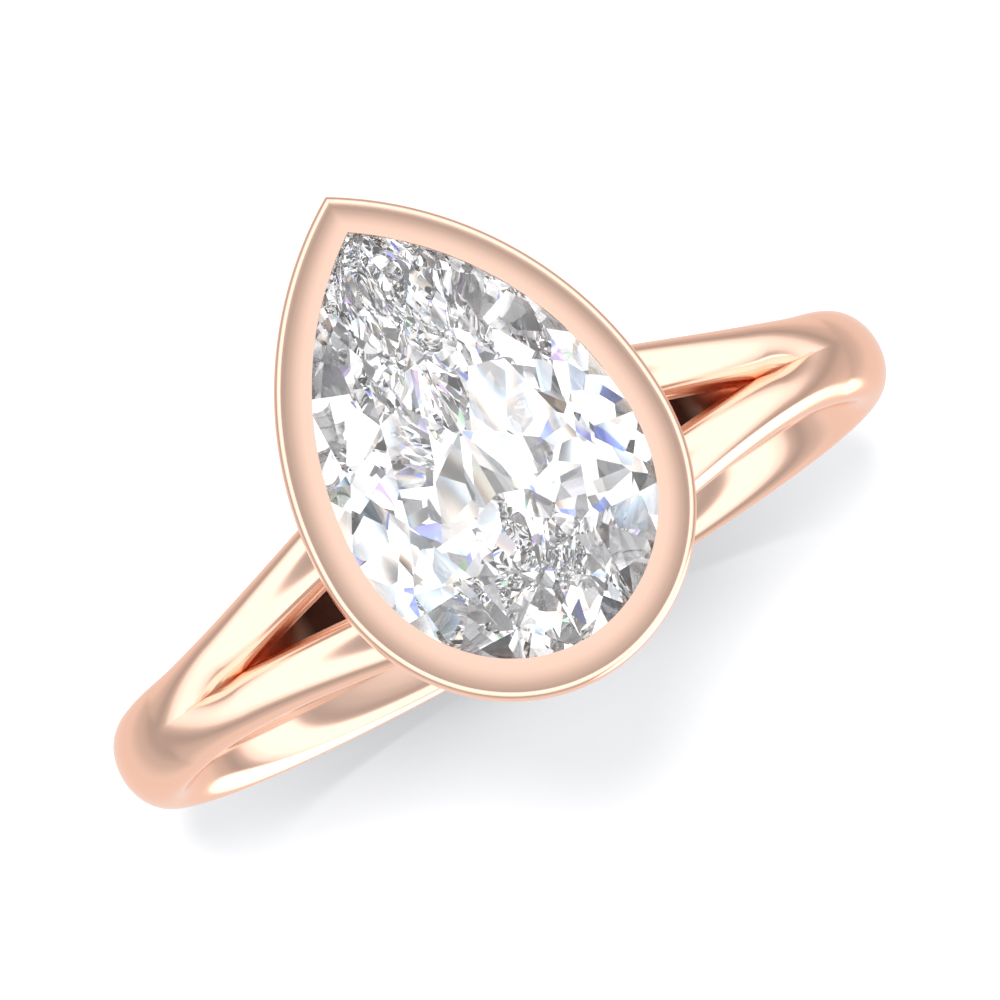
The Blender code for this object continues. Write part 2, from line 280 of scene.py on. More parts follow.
def add_mesh(name, bm, mat, sharp=35.0):
    bmesh.ops.recalc_face_normals(bm, faces=bm.faces[:])
    mesh = bpy.data.meshes.new(name)
    bm.to_mesh(mesh)
    bm.free()
    mesh.materials.append(mat)
    mesh.shade_smooth()
    mesh.set_sharp_from_angle(angle=math.radians(sharp))
    obj = bpy.data.objects.new(name, mesh)
    bpy.context.scene.collection.objects.link(obj)
    return obj


def finish_piece(obj, node):
    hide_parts(node)
    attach(obj, ROOT)


def loft(rings):
    """A capped skin over rings of the same count."""
    bm = bmesh.new()
    loops = [[bm.verts.new(point) for point in ring] for ring in rings]
    bm.faces.new(loops[0])
    bm.faces.new(loops[-1])
    for lower, upper in zip(loops, loops[1:]):
        for i in range(len(lower)):
            j = (i + 1) % len(lower)
            bm.faces.new((lower[i], lower[j], upper[j], upper[i]))
    return bm


class Amount:
    """A number in a geometry tree; arithmetic on it adds math nodes."""

    def __init__(self, tree, socket):
        self.tree, self.socket = tree, socket

    def call(self, operation, *others):
        values = [v.socket if isinstance(v, Amount) else v for v in (self, *others)]
        return Amount(self.tree, calculate(self.tree, operation, *values))

    def __add__(self, other):
        return self.call("ADD", other)

    def __sub__(self, other):
        return self.call("SUBTRACT", other)

    def __rsub__(self, other):
        return self.call("MULTIPLY_ADD", -1.0, other)

    def __mul__(self, other):
        return self.call("MULTIPLY", other)

    def __truediv__(self, other):
        return self.call("DIVIDE", other)

    def __pow__(self, other):
        return self.call("POWER", other)

    __radd__, __rmul__ = __add__, __mul__


def sweep_tree(name, sizes, rule, joined):
    """A geometry tree that carries the incoming chain of profile points along a rule.

    The rule gets the named sizes, the share of the way along and the profile point's two
    coordinates, and gives the three coordinates of the swept point.
    """
    tree = bpy.data.node_groups.new(name, "GeometryNodeTree")
    for label, kind in (
        ("Profile", "NodeSocketGeometry"),
        ("Steps", "NodeSocketInt"),
        ("Material", "NodeSocketMaterial"),
        *((size, "NodeSocketFloat") for size in sizes),
    ):
        tree.interface.new_socket(label, in_out="INPUT", socket_type=kind)
    tree.interface.new_socket("Piece", in_out="OUTPUT", socket_type="NodeSocketGeometry")
    given = tree.nodes.new("NodeGroupInput").outputs

    def add(kind, sockets, **settings):
        node = tree.nodes.new(kind)
        for setting, value in settings.items():
            setattr(node, setting, value)
        for label, value in sockets.items():
            feed(tree, value, node.inputs[label])
        return node.outputs[0]

    steps = Amount(tree, given["Steps"])
    sides = add("GeometryNodeAttributeDomainSize", {"Geometry": given["Profile"]})
    if joined:
        path = add("GeometryNodeCurvePrimitiveCircle", {"Resolution": given["Steps"]})
    else:
        line = add("GeometryNodeCurvePrimitiveLine", {})
        path = add("GeometryNodeResampleCurve", {"Curve": line, "Count": (steps + 1.0).socket})
    section = add("GeometryNodeCurvePrimitiveCircle", {"Resolution": sides})
    parts = {"Curve": path, "Profile Curve": section, "Fill Caps": not joined}
    tube = add("GeometryNodeCurveToMesh", parts)
    index = Amount(tree, add("GeometryNodeInputIndex", {}))
    row = ((index + 0.5) / Amount(tree, sides)).call("FLOOR")
    side = index - row * Amount(tree, sides)
    chain = {
        "Geometry": given["Profile"],
        "Value": add("GeometryNodeInputPosition", {}),
        "Index": side.socket,
    }
    point = add("GeometryNodeSampleIndex", chain, data_type="FLOAT_VECTOR", domain="POINT")
    split = tree.nodes.new("ShaderNodeSeparateXYZ")
    link(tree, point, split.inputs["Vector"])
    across, up = (Amount(tree, split.outputs[axis]) for axis in "XZ")
    place = rule({size: Amount(tree, given[size]) for size in sizes}, row / steps, across, up)
    target = add("ShaderNodeCombineXYZ", {axis: part.socket for axis, part in zip("XYZ", place)})
    shaped = add("GeometryNodeSetPosition", {"Geometry": tube, "Position": target})
    real = add("GeometryNodeRealizeInstances", {"Geometry": shaped})
    done = add("GeometryNodeSetMaterial", {"Geometry": real, "Material": given["Material"]})
    link(tree, done, tree.nodes.new("NodeGroupOutput").inputs["Piece"])
    return tree


def sweep(name, tree, profile, steps, sizes, mat, sharp):
    """Runs a sweep tree on a profile and keeps the outcome as one plain mesh."""
    chain = bpy.data.meshes.new(f"{name}_profile")
    chain.from_pydata([(across, 0.0, up) for across, up in profile], [], [])
    carrier = bpy.data.objects.new(f"{name}_profile", chain)
    bpy.context.scene.collection.objects.link(carrier)
    modifier = carrier.modifiers.new("sweep", "NODES")
    modifier.node_group = tree
    values = {"Steps": steps, "Material": mat, **sizes}
    for item in tree.interface.items_tree:
        if item.name in values:
            modifier[item.identifier] = values[item.name]
    grown = carrier.evaluated_get(bpy.context.evaluated_depsgraph_get())
    bm = bmesh.new()
    bm.from_mesh(bpy.data.meshes.new_from_object(grown))
    bpy.data.objects.remove(carrier)
    return add_mesh(name, bm, mat, sharp)


def outline_point(offset, share):
    """A point of the pear outline, offset from the stone's edge; share is -1 and 1 at the tip."""
    side = math.copysign(1.0, share)
    half_width = STONE_WIDTH / 2
    tip_length = STONE_LENGTH - ROUND_END_LENGTH
    arc_radius = (tip_length**2 + half_width**2) / (2 * half_width)
    arc_centre = half_width - arc_radius
    if abs(share) <= 0.5:
        angle = math.pi * abs(share)
        x = (half_width + offset) * math.sin(angle)
        y = -(ROUND_END_LENGTH + offset) * math.cos(angle)
    else:
        radius = arc_radius + offset
        angle = (2 * abs(share) - 1) * math.acos(-arc_centre / radius)
        x = arc_centre + radius * math.cos(angle)
        y = radius * math.sin(angle)
    return Vector((side * x, y + HEAD_SHIFT))


def outline_ring(offset, height, count=360):
    ring = []
    for i in range(count):
        share = -1 + 2 * i / count
        point = outline_point(offset, share)
        ring.append(Vector((0.0 if i == 0 else point.x, point.y, height)))
    return ring


def round_the_pear(given, along, offset, height):
    """The outline's rule: half an ellipse at the round end, two arcs up to the tip."""
    share = along * 2.0 - 1.0
    side, size = share.call("SIGN"), share.call("ABSOLUTE")
    half_width = given["Stone Width"] / 2.0
    tip_length = given["Stone Length"] - given["Round End"]
    arc_radius = (tip_length * tip_length / half_width + half_width) / 2.0
    arc_centre = half_width - arc_radius
    round_angle = size * math.pi
    round_x = (half_width + offset) * round_angle.call("SINE")
    round_y = (given["Round End"] + offset) * round_angle.call("COSINE") * -1.0
    radius = arc_radius + offset
    tip_angle = (size * 2.0 - 1.0) * (arc_centre / radius * -1.0).call("ARCCOSINE")
    tip_x = arc_centre + radius * tip_angle.call("COSINE")
    tip_y = radius * tip_angle.call("SINE")
    near_tip = size.call("GREATER_THAN", 0.5)
    x = round_x + (tip_x - round_x) * near_tip
    y = round_y + (tip_y - round_y) * near_tip
    return side * x, y + given["Head Shift"], height


PEAR_SIZES = {
    "Stone Width": STONE_WIDTH,
    "Stone Length": STONE_LENGTH,
    "Round End": ROUND_END_LENGTH,
    "Head Shift": HEAD_SHIFT,
}
PEAR_STEPS = 360
PEAR_SWEEP = sweep_tree("round_the_pear", PEAR_SIZES, round_the_pear, joined=True)


def pear_piece(name, profile, mat, sharp):
    return sweep(name, PEAR_SWEEP, profile, PEAR_STEPS, PEAR_SIZES, mat, sharp)


def circle_of(sides, across, up):
    """Profile points round an oval, from its two half sizes."""
    turns = (2 * math.pi * i / sides for i in range(sides))
    return [(across * math.cos(turn), up * math.sin(turn)) for turn in turns]


def smooth_through(points, per_span):
    """A curve through the points, as a row of finer points."""
    row = []
    for i in range(len(points) - 1):
        before = points[max(i - 1, 0)]
        start, end = points[i], points[i + 1]
        after = points[min(i + 2, len(points) - 1)]
        for step in range(per_span):
            t = step / per_span
            row.append(
                tuple(
                    0.5
                    * (
                        2 * s
                        + (e - b) * t
                        + (2 * b - 5 * s + 4 * e - a) * t * t
                        + (3 * s - b - 3 * e + a) * t**3
                    )
                    for b, s, e, a in zip(before, start, end, after)
                )
            )
    row.append(tuple(points[-1]))
    return row


def wall_line(share):
    offset = CREASE_OFFSET - WALL_TAPER * share
    offset += WALL_BELLY * math.sin(math.pi * share**BELLY_POWER)
    return offset, CREASE_HEIGHT + (WALL_FOOT - CREASE_HEIGHT) * share


# Gold pieces

LIGHT, DEEP = (1.0, 0.695, 0.56), (0.985, 0.665, 0.53)
shank_gold = rose_gold("shank rose gold", 0.1, 0.05, 0.3, LIGHT, DEEP)
shoulder_gold = rose_gold("shoulder rose gold", 0.1, 0.05, 0.3, LIGHT, DEEP)
bezel_gold = rose_gold("bezel rose gold", 0.13, 0.05, 0.3, LIGHT, DEEP)
bridge_gold = rose_gold("bridge rose gold", 0.12, 0.06, 0.4, LIGHT, DEEP)
INNER_LIGHT, INNER_DEEP = (0.95, 0.66, 0.52), (0.85, 0.54, 0.4)
inner_gold = rose_gold("inner head rose gold", 0.2, 0.12, 0.8, INNER_LIGHT, INNER_DEEP)


BAND_SIDES, BAND_STEPS = 96, 360


def round_the_finger(given, along, across, up):
    """The band's rule: one section carried round the finger from shoulder to shoulder."""
    sweep_angle = 2 * math.pi - given["Split Angle"] * 2.0
    angle = given["Split Angle"] + sweep_angle * along
    radius = given["Radius"] + up
    return radius * angle.call("SINE"), across, radius * angle.call("COSINE")


def make_band():
    sizes = {"Radius": BAND_RADIUS, "Split Angle": SPLIT_ANGLE}
    tree = sweep_tree("round_the_finger", sizes, round_the_finger, joined=False)
    oval = circle_of(BAND_SIDES, BAND_WIDTH / 2, BAND_THICKNESS / 2)
    obj = sweep("shank_band_gold", tree, oval, BAND_STEPS, sizes, shank_gold, sharp=60)
    finish_piece(obj, "shank_band")


ARM_SIDES, ARM_STEPS, ARM_LENGTH = 72, 90, 1.22


def along_the_arm(given, along, turn_share, _):
    """The arm's rule: an oval, cut flat along the mid-plane while the two arms still overlap."""
    reach = along * given["Length"]
    parted = ((reach - PARTING_START) / (1 - PARTING_START)).call("MAXIMUM", 0.0)
    inner = given["Parting"] / 2.0 * parted**PARTING_POWER
    outer = given["Width"] / 2.0 + given["Flare"] * reach**2.0
    grown = (reach / ROUNDING_SHARE).call("MINIMUM", 1.0)
    grown = grown * grown * (1 + ROUNDING_EASE) / (grown + ROUNDING_EASE)
    rounding = 1.0 - (1.0 - grown) ** ROUNDING_POWER
    middle = (inner + outer) / 2.0 * rounding
    half_width = outer - middle
    radius = given["Radius"] + given["Rise"] * reach**2.0
    angle = given["Split Angle"] - given["Reach Angle"] * reach
    open_side = ((inner - middle) / half_width).call("MAXIMUM", -1.0).call("ARCCOSINE")
    turn = turn_share * open_side.call("MINIMUM", math.pi * (1 - 1 / ARM_SIDES))
    r = radius + given["Thickness"] / 2.0 * turn.call("SINE")
    y = middle + half_width * turn.call("COSINE")
    x = given["Side X"] * r * angle.call("SINE")
    return x, given["Side Y"] * y, r * angle.call("COSINE")


def make_shoulders():
    sizes = {
        "Length": ARM_LENGTH,
        "Radius": BAND_RADIUS,
        "Width": BAND_WIDTH,
        "Thickness": BAND_THICKNESS,
        "Split Angle": SPLIT_ANGLE,
        "Reach Angle": SHOULDER_REACH,
        "Rise": SHOULDER_RISE,
        "Flare": SHOULDER_FLARE,
        "Parting": SHOULDER_PARTING,
        "Side X": 1.0,
        "Side Y": 1.0,
    }
    tree = sweep_tree("along_the_arm", sizes, along_the_arm, joined=False)
    turns = [(2 * i / (ARM_SIDES - 1) - 1, 0.0) for i in range(ARM_SIDES)]
    for x_name, side_x in (("left", -1.0), ("right", 1.0)):
        for y_name, side_y in (("tip", 1.0), ("round", -1.0)):
            sides = {"Side X": side_x, "Side Y": side_y}
            node = f"shoulder_{x_name}_{y_name}"
            own = {**sizes, **sides}
            obj = sweep(f"{node}_gold", tree, turns, ARM_STEPS, own, shoulder_gold, sharp=60)
            finish_piece(obj, node)


def wall_shoulder():
    """The wall's rounded top, from the crease out to its fullest line."""
    first_tilt = math.radians(46.0)
    roundness = 0.5 * MM
    steps = 12
    points = []
    for step in range(steps):
        tilt = first_tilt + (math.radians(88.0) - first_tilt) * step / (steps - 1)
        offset = CREASE_OFFSET + roundness * (math.sin(tilt) - math.sin(first_tilt))
        height = CREASE_HEIGHT - roundness * (math.cos(first_tilt) - math.cos(tilt))
        points.append((offset, height))
    return points


def make_wall():
    profile = []
    rim_steps = 28
    for step in range(rim_steps):
        share = step / rim_steps
        profile.append((RIM_WIDTH * share - LIP_OVERLAP, LIP_TOP - RIM_ROLL * share**2))
    coarse = [wall_line(step / 9) for step in range(10)]
    profile += wall_shoulder()
    below = [point for point in coarse if point[1] < profile[-1][1] - 0.1 * MM]
    profile += smooth_through([profile[-1], *below], 6)
    pocket_floor = GIRDLE_LOW - LEDGE_DEPTH - 0.06 * MM
    for offset, height in reversed(coarse):
        if height < pocket_floor:
            profile.append((min(offset - WALL_THICKNESS, 0.0), height))
    profile.append((0.03 * MM, pocket_floor))
    profile.append((0.03 * MM, GIRDLE_HIGH + 0.03 * MM))
    profile.append((-LIP_OVERLAP, LIP_TOP - 0.18 * MM))
    obj = pear_piece("bezel_gold", profile, bezel_gold, sharp=14)
    finish_piece(obj, "bezel_wall")


make_band()
make_shoulders()
make_wall()

# Painted shade under the head: where it starts and ends, its near-black colour and its added
# roughness
PAINTED_SHADE_START, PAINTED_SHADE_END = 4.9 * MM, 6.6 * MM
PAINTED_SHADE_COLOUR = (0.07, 0.03, 0.02, 1.0)
PAINTED_SHADE_ROUGHNESS = 0.35


def paint_shade_under_head(mat):
    """Painted shade: a near-black colour, with added roughness, on the faces that look up into the
    closed head, fading out between 4.9 and 6.6 mm from the middle.
    """
    tree = mat.node_tree
    shader = tree.nodes["Principled BSDF"]
    colour, roughness = (
        shader.inputs[label].links[0].from_socket for label in ("Base Color", "Roughness")
    )
    normal = tree.nodes.new("ShaderNodeNewGeometry").outputs["Normal"]
    upward = rising(tree, axis_of(tree, normal, "Z"), 0.2, 0.5)
    distance = calculate(tree, "ABSOLUTE", axis_of(tree, object_place(tree), "X"))
    hidden = rising(tree, distance, PAINTED_SHADE_END, PAINTED_SHADE_START)
    painted_shade = calculate(tree, "MULTIPLY", upward, hidden)
    link(tree, mixed(tree, "MIX", painted_shade, colour, PAINTED_SHADE_COLOUR), shader.inputs["Base Color"])
    dull = calculate(tree, "MULTIPLY_ADD", painted_shade, PAINTED_SHADE_ROUGHNESS, roughness)
    link(tree, dull, shader.inputs["Roughness"])


paint_shade_under_head(bridge_gold)


# Painted light: paler gold in gold's own reflections, grey on gold seen through the stone, and
# patches of glow on it
MIRRORED_GOLD_PAINTED_PALE = (1.0, 0.88, 0.81, 1)
PAINTED_GREY_BEHIND_STONE = (0.4, 0.4, 0.41, 1)
GLOW_PATCH_SCALE = 700.0
PAINTED_GLOW_PATCHES = ((0.4, 0.03), (0.47, 0.25), (0.54, 0.8), (0.62, 0.95))


def head_light_group():
    """Painted light in the head: gold is painted paler where gold is mirrored in gold, and gold
    seen through the stone is painted grey with patches of painted glow.
    """
    group, given, out = shader_group(
        "light_inside_the_head",
        (("Colour", COLOUR), ("Mirrored", NUMBER), ("Behind Stone", NUMBER)),
        (("Colour", COLOUR), ("Glow", COLOUR)),
    )
    pale = mixed(group, "MIX", given["Mirrored"], given["Colour"], MIRRORED_GOLD_PAINTED_PALE)
    calm = mixed(group, "MIX", given["Behind Stone"], pale, PAINTED_GREY_BEHIND_STONE)
    link(group, calm, out["Colour"])
    patches = noise_at(group, object_place(group), GLOW_PATCH_SCALE, 2.0)
    lit = colour_steps(group, patches, PAINTED_GLOW_PATCHES)
    glow = mixed(group, "MIX", given["Behind Stone"], (0.0, 0.0, 0.0, 1.0), lit)
    link(group, glow, out["Glow"])
    return group


HEAD_LIGHT = head_light_group()


def calm_reflections(mat, lit):
    """Paints light into the gold: paler where gold is mirrored in gold, in place of the shade
    between parts, and grey where it is seen through the stone, glowing in patches when lit.
    """
    tree = mat.node_tree
    shader = tree.nodes["Principled BSDF"]
    path = tree.nodes.new("ShaderNodeLightPath")
    light = tree.nodes.new("ShaderNodeGroup")
    light.node_tree = HEAD_LIGHT
    link(tree, shader.inputs["Base Color"].links[0].from_socket, light.inputs["Colour"])
    link(tree, path.outputs["Is Glossy Ray"], light.inputs["Mirrored"])
    behind = calculate(tree, "GREATER_THAN", path.outputs["Transmission Depth"], 0.5)
    link(tree, behind, light.inputs["Behind Stone"])
    link(tree, light.outputs["Colour"], shader.inputs["Base Color"])
    # Painted glow: gold seen through the stone gives off light in patches, though it is no lamp
    if lit:
        link(tree, light.outputs["Glow"], shader.inputs["Emission Color"])
        shader.inputs["Emission Strength"].default_value = 1.0


for mat in (shank_gold, shoulder_gold, bezel_gold):
    calm_reflections(mat, lit=False)
for mat in (bridge_gold, inner_gold):
    calm_reflections(mat, lit=True)


BRIDGE_SEAM = 0.03 * MM
BRIDGE_SIDES, BRIDGE_STEPS = 96, 160


def under_the_head(given, along, across, up):
    """The bridge's rule: it carries the finger circle on and thins out where the arms come down."""
    angle = given["End Angle"] * (along * 2.0 - 1.0)
    reach = (given["Split Angle"] - angle.call("ABSOLUTE")) / given["Reach Angle"]
    room = given["Rise"] * reach**2.0 - BRIDGE_SEAM
    half_thickness = room.call("MINIMUM", given["Thickness"]) / 2.0
    r = given["Radius"] + half_thickness + half_thickness * up
    return r * angle.call("SINE"), given["Width"] / 2.0 * across, r * angle.call("COSINE")


def make_bridge():
    """The strip that closes the finger hole under the head, thinning out at both ends."""
    end_thickness, corner = 0.03 * MM, 4.0
    end_reach = math.sqrt((end_thickness + BRIDGE_SEAM) / SHOULDER_RISE)
    sizes = {
        "End Angle": SPLIT_ANGLE - SHOULDER_REACH * end_reach,
        "Radius": FINGER_RADIUS,
        "Width": BRIDGE_WIDTH,
        "Thickness": BRIDGE_THICKNESS,
        "Split Angle": SPLIT_ANGLE,
        "Reach Angle": SHOULDER_REACH,
        "Rise": SHOULDER_RISE,
    }
    tree = sweep_tree("under_the_head", sizes, under_the_head, joined=False)
    softened = []
    for across, up in circle_of(BRIDGE_SIDES, 1.0, 1.0):
        swell = (abs(across) ** corner + abs(up) ** corner) ** (1 / corner)
        softened.append((across / swell, up / swell))
    name = "finger_bridge_gold"
    obj = sweep(name, tree, softened, BRIDGE_STEPS, sizes, bridge_gold, sharp=60)
    finish_piece(obj, "finger_bridge")


def make_ledge():
    """The bevelled bearer that carries the stone's edge inside the wall."""
    top = GIRDLE_LOW - 0.03 * MM
    slope = LEDGE_STEEPNESS * PAVILION_DEPTH / (STONE_WIDTH / 2)
    soft = 0.04 * MM
    profile = [
        (0.0, top),
        (0.0, top - LEDGE_DEPTH),
        (soft - LEDGE_WIDTH, top - LEDGE_DEPTH),
        (-LEDGE_WIDTH, top - LEDGE_DEPTH + soft),
        (-LEDGE_WIDTH, top - LEDGE_WIDTH * slope - soft),
        (soft - LEDGE_WIDTH, top - (LEDGE_WIDTH - soft) * slope),
    ]
    obj = pear_piece("bearing_ledge_gold", profile, inner_gold, sharp=50)
    finish_piece(obj, "bearing_ledge")


def make_rail():
    """An oval wire under the foot of the wall."""
    middle = FOOT_OFFSET - RAIL_WIDTH / 2, (RAIL_LOW + RAIL_HIGH) / 2
    wire = circle_of(48, RAIL_WIDTH / 2, (RAIL_HIGH - RAIL_LOW) / 2)
    profile = [(middle[0] + across, middle[1] + up) for across, up in wire]
    obj = pear_piece("gallery_rail_gold", profile, inner_gold, sharp=60)
    finish_piece(obj, "gallery_rail")


make_bridge()
make_ledge()
make_rail()


# Diamond

TABLE_SHARE = 0.58
TABLE_CENTRE = 0.4 * MM
STAR_LEVEL = 0.58
LOWER_HALF_SHARE = 0.77
PAVILION_MAINS = 8
LAP_WAVE = 0.05 * MM
KITE_TOP = 0.55
KITE_LIFT = 0.14 * MM
KEEL_LENGTH = 2.6 * MM
KEEL_START = 0.55

LAP_SCALE, ZONING_SCALE = 320.0, 260.0
BODY_COLOURS = ((0.35, (0.985, 0.992, 1.0)), (0.65, (1.0, 1.0, 1.0)))


def cut_and_polished():
    """Near-colourless diamond whose flats keep the slight waviness of the lap."""
    mat, tree, shader = new_material("pear diamond")
    shader.inputs["Roughness"].default_value = 0.0
    shader.inputs["IOR"].default_value = 2.417
    shader.inputs["Transmission Weight"].default_value = 1.0
    place = object_place(tree)
    zoning = noise_at(tree, place, ZONING_SCALE, 1.0)
    link(tree, colour_steps(tree, zoning, BODY_COLOURS), shader.inputs["Base Color"])
    bump_normal(tree, noise_at(tree, place, LAP_SCALE, 0.0), 1.0, LAP_WAVE, shader)
    return mat


diamond = cut_and_polished()


def outline_tangent(share):
    step = 0.001
    if abs(share) == 1:
        return Vector((1.0, 0.0))
    return (outline_point(0, share + step) - outline_point(0, share - step)).normalized()


def plane_through(a, b, c):
    normal = (b - a).cross(c - a).normalized()
    middle = Vector((0, HEAD_SHIFT, GIRDLE_LOW))
    if normal.dot(a - middle) < 0:
        normal = -normal
    return a, normal


def on_ridge(plane_a, plane_b, height):
    (point_a, normal_a), (point_b, normal_b) = plane_a[:2], plane_b[:2]
    system = Matrix((normal_a, normal_b, (0, 0, 1)))
    return system.inverted() @ Vector((normal_a.dot(point_a), normal_b.dot(point_b), height))


def girdle(share, height):
    wrapped = (share + 1) % 2 - 1
    point = outline_point(0, wrapped)
    return Vector((point.x, point.y, height))


def crown_planes():
    count = 8
    pitch = 2 / count
    shares = [-1 + pitch * i for i in range(count)]
    table_middle = Vector((0, HEAD_SHIFT + TABLE_CENTRE, TABLE_HEIGHT))
    mains, corners = [], []
    for share in shares:
        along = outline_tangent(share).to_3d() * MM
        edge = girdle(share, GIRDLE_HIGH)
        corner = table_middle + TABLE_SHARE * (girdle(share, TABLE_HEIGHT) - table_middle)
        corners.append(corner)
        mains.append(plane_through(edge, edge + along, corner))
    planes = list(mains)
    for i, share in enumerate(shares):
        j = (i + 1) % count
        star = on_ridge(mains[i], mains[j], GIRDLE_HIGH + STAR_LEVEL * TOP_HEIGHT)
        planes.append(plane_through(corners[i], corners[j], star))
        for first in (share, share + pitch / 2):
            ends = girdle(first, GIRDLE_HIGH), girdle(first + pitch / 2, GIRDLE_HIGH)
            planes.append(plane_through(*ends, star))
    planes.append((table_middle, Vector((0, 0, 1))))
    return planes


def pavilion_planes(count=PAVILION_MAINS, foot_share=LOWER_HALF_SHARE):
    """Main facets down to the culet, none on the tip itself, with halves and kites between."""
    pitch = 2 / count
    shares = [-1 + pitch * (i + 0.5) for i in range(count)]
    mains = []
    for share in shares:
        edge = girdle(share, GIRDLE_LOW)
        along = outline_tangent(share).to_3d() * MM
        toward_tip = max(0.0, abs(share) - KEEL_START) / (1 - KEEL_START)
        foot = Vector((0, HEAD_SHIFT + KEEL_LENGTH * toward_tip**0.5, CULET_HEIGHT))
        mains.append((*plane_through(edge, edge + along, foot), foot))
    planes = list(mains)
    foot_height = GIRDLE_LOW - foot_share * PAVILION_DEPTH
    for i, share in enumerate(shares):
        j = (i + 1) % count
        foot = on_ridge(mains[i], mains[j], foot_height)
        for first in (share, share + pitch / 2):
            ends = girdle(first, GIRDLE_LOW), girdle(first + pitch / 2, GIRDLE_LOW)
            planes.append(plane_through(*ends, foot))
        between = (share + pitch / 2 + 1) % 2 - 1
        across = outline_tangent(between).to_3d() * MM
        upper = on_ridge(mains[i], mains[j], GIRDLE_LOW - KITE_TOP * PAVILION_DEPTH)
        feet = (mains[i][2] + mains[j][2]) / 2
        upper.z += 0.02 * MM
        feet.z += KITE_LIFT
        planes.append(plane_through(upper, upper + across, feet))
    return [plane[:2] for plane in planes]


def make_stone():
    ring = outline_ring(0, CULET_HEIGHT - MM, count=96)
    top = [Vector((point.x, point.y, TABLE_HEIGHT + MM)) for point in ring]
    bm = loft([ring, top])
    bmesh.ops.scale(bm, vec=(1 / MM,) * 3, verts=bm.verts[:])
    bmesh.ops.recalc_face_normals(bm, faces=bm.faces[:])
    for point, normal in crown_planes() + pavilion_planes():
        cut = bmesh.ops.bisect_plane(
            bm,
            geom=bm.verts[:] + bm.edges[:] + bm.faces[:],
            plane_co=point / MM,
            plane_no=normal,
            clear_outer=True,
        )
        edges = [part for part in cut["geom_cut"] if isinstance(part, bmesh.types.BMEdge)]
        if edges:
            bmesh.ops.contextual_create(bm, geom=edges)
    bmesh.ops.remove_doubles(bm, verts=bm.verts[:], dist=0.002)
    bmesh.ops.delete(bm, geom=bm.edges[:] + bm.faces[:], context="EDGES_FACES")
    hull = bmesh.ops.convex_hull(bm, input=bm.verts[:])
    spare = [part for part in hull["geom_interior"] if isinstance(part, bmesh.types.BMVert)]
    bmesh.ops.delete(bm, geom=spare, context="VERTS")
    flats = {"verts": bm.verts[:], "edges": bm.edges[:], "use_dissolve_boundaries": False}
    bmesh.ops.dissolve_limit(bm, angle_limit=math.radians(0.4), **flats)
    bmesh.ops.scale(bm, vec=(MM,) * 3, verts=bm.verts[:])
    obj = add_mesh("cut_diamond", bm, diamond, sharp=0.3)
    finish_piece(obj, "stone")


make_stone()


# Studio

def make_floor():
    size = 6.0
    bm = bmesh.new()
    bmesh.ops.create_grid(bm, x_segments=1, y_segments=1, size=size / 2)
    mat, tree, shader = new_material("studio floor")
    shader.inputs["Base Color"].default_value = (0.9, 0.9, 0.91, 1.0)
    shader.inputs["Roughness"].default_value = 0.9
    shader.inputs["Emission Color"].default_value = (0.93, 0.95, 1.0, 1.0)
    shader.inputs["Emission Strength"].default_value = 0.2
    mesh = bpy.data.meshes.new("studio_floor")
    bm.to_mesh(mesh)
    bm.free()
    mesh.materials.append(mat)
    floor = bpy.data.objects.new("studio_floor", mesh)
    floor.location = (0, 0, cad_box[0].z)
    bpy.context.scene.collection.objects.link(floor)
    floor.visible_glossy = False


# Brightness of the light tent against the sine of the height above the horizon
TENT = (
    (-1.0, 0.94),
    (-0.85, 0.9),
    (-0.72, 0.66),
    (-0.6, 0.47),
    (-0.52, 0.6),
    (-0.42, 1.3),
    (-0.3, 1.6),
    (0.03, 1.6),
    (0.1, 0.6),
    (0.2, 0.5),
    (0.42, 0.67),
    (0.57, 0.82),
    (0.71, 0.94),
    (0.87, 1.05),
    (1.0, 1.08),
)


# A low round panel on the side of the ring's round end
PANEL_DIRECTION = (0.35, -0.6, -0.72)
PANEL_EDGE = 0.93
PANEL_LEVEL = 2.1

# What the stone gathers from the tent
GEM_SCALE = 3.4
GEM_PANELS = ((0.36, 0.02), (0.39, 0.2), (0.42, 0.6), (0.46, 1.3), (0.6, 1.8))
STREAK_SCALE = 1.8
SPECTRUM_SHIFT = (0.005, -0.003, 0.0)
FLASH_HUES = (
    (0.0, (0.25, 0.35, 1.0)),
    (0.45, (0.35, 0.6, 0.4)),
    (0.52, (0.3, 0.35, 1.0)),
    (0.6, (0.55, 0.4, 0.75)),
)
FLASH_OFFSET = (7.3, 2.1, 4.4)
FLASH_EDGE = 0.62


def scattered(tree, direction, shift):
    """The gem's own surroundings: bright panels with dark gaps, looked up a little to one side."""
    spread = moved(tree, direction, shift)
    panels = colour_steps(tree, noise_at(tree, spread, GEM_SCALE, 1.5), GEM_PANELS)
    streaks = tree.nodes.new("ShaderNodeTexWave")
    streaks.inputs["Scale"].default_value = STREAK_SCALE
    streaks.inputs["Distortion"].default_value = 6.0
    streaks.inputs["Detail"].default_value = 1.0
    streaks.inputs["Detail Scale"].default_value = 0.6
    link(tree, spread, streaks.inputs["Vector"])
    lines = colour_steps(tree, streaks.outputs["Fac"], ((0.0, 0.45), (0.22, 0.62), (0.45, 1.0)))
    return mixed(tree, "MULTIPLY", 1.0, panels, lines)


